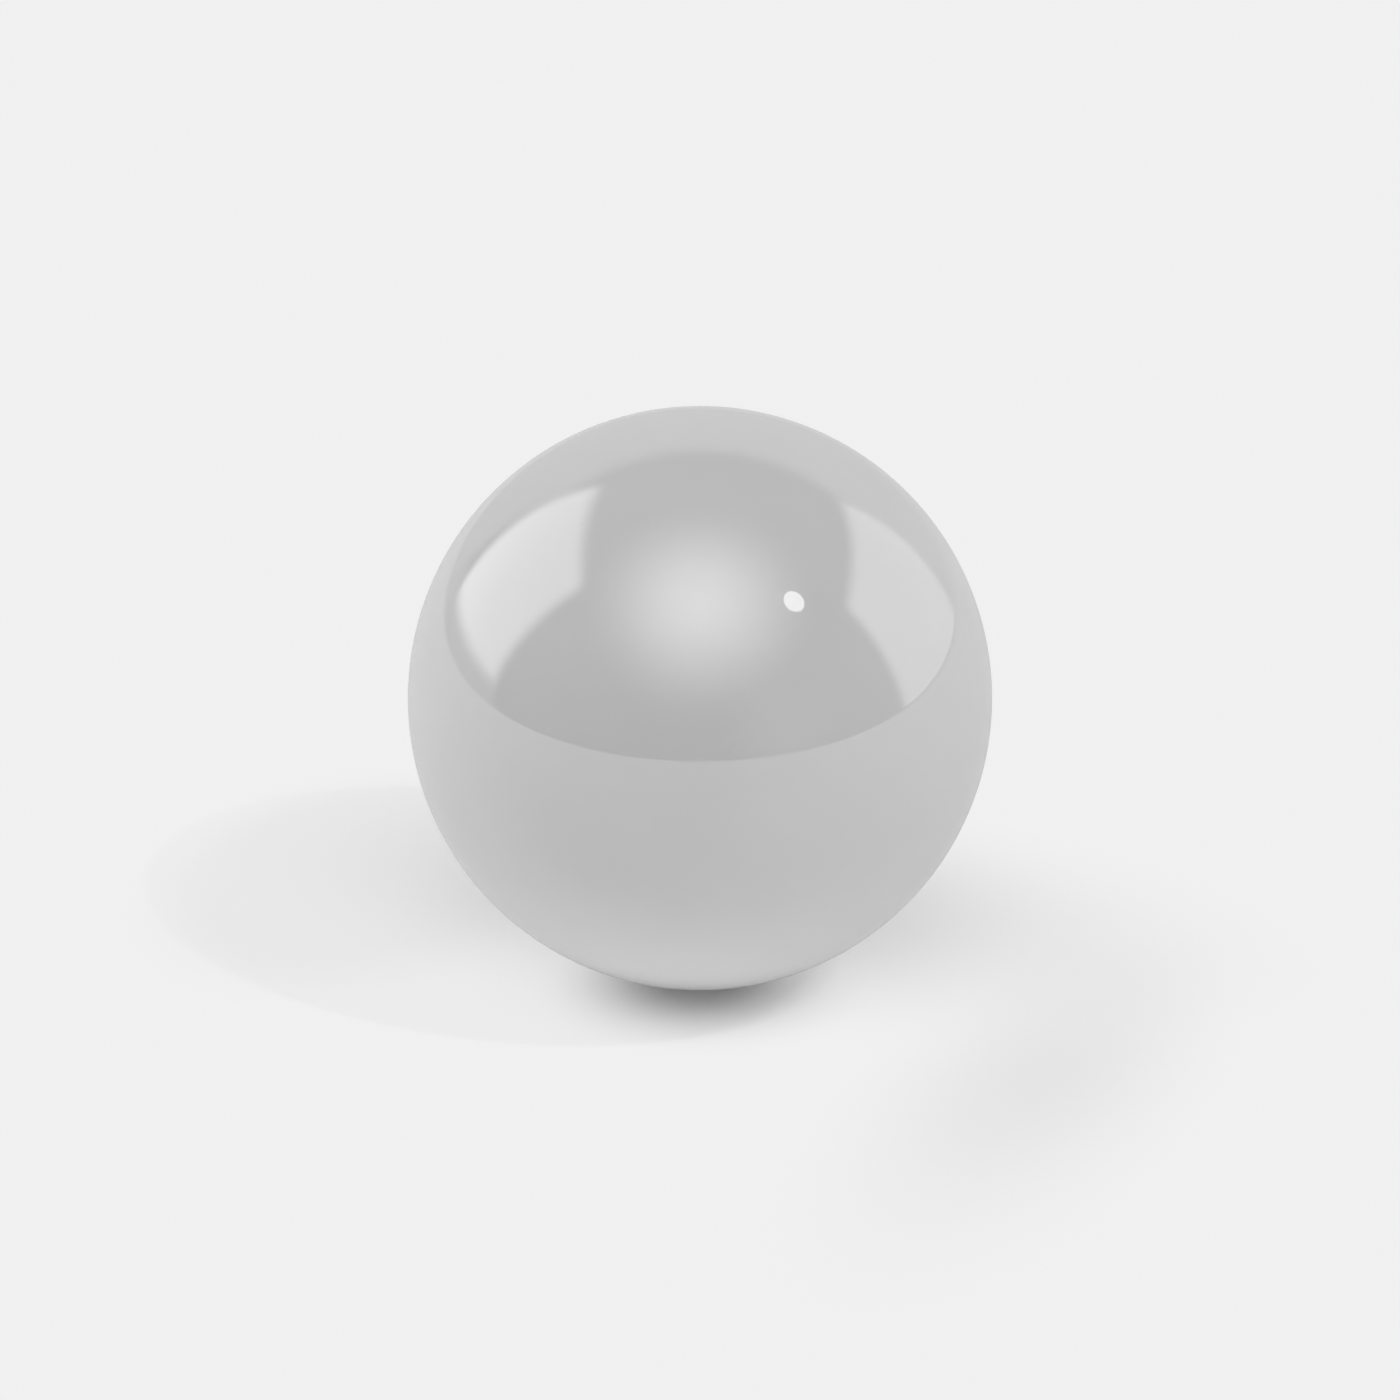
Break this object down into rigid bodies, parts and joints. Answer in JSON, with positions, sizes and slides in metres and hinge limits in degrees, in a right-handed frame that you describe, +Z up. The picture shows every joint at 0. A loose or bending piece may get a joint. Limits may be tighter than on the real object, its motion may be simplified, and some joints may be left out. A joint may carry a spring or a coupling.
{
  "type": "ceramic ball",
  "caption": "Solid ball of dense white ceramic with a mirror-polished spherical surface, for rolling, sealing or spacing.",
  "frame": {"origin": "centre of the ball", "axes": "+Z up, away from the seat that the ball lies in; every line through the centre is a symmetry axis, so X and Y are free"},
  "size_m": [0.0126, 0.0126, 0.0126],
  "materials": {
    "polished_ceramic": null
  },
  "bodies": {
    "root": {"ball": "polished_ceramic"}
  },
  "joints": []
}
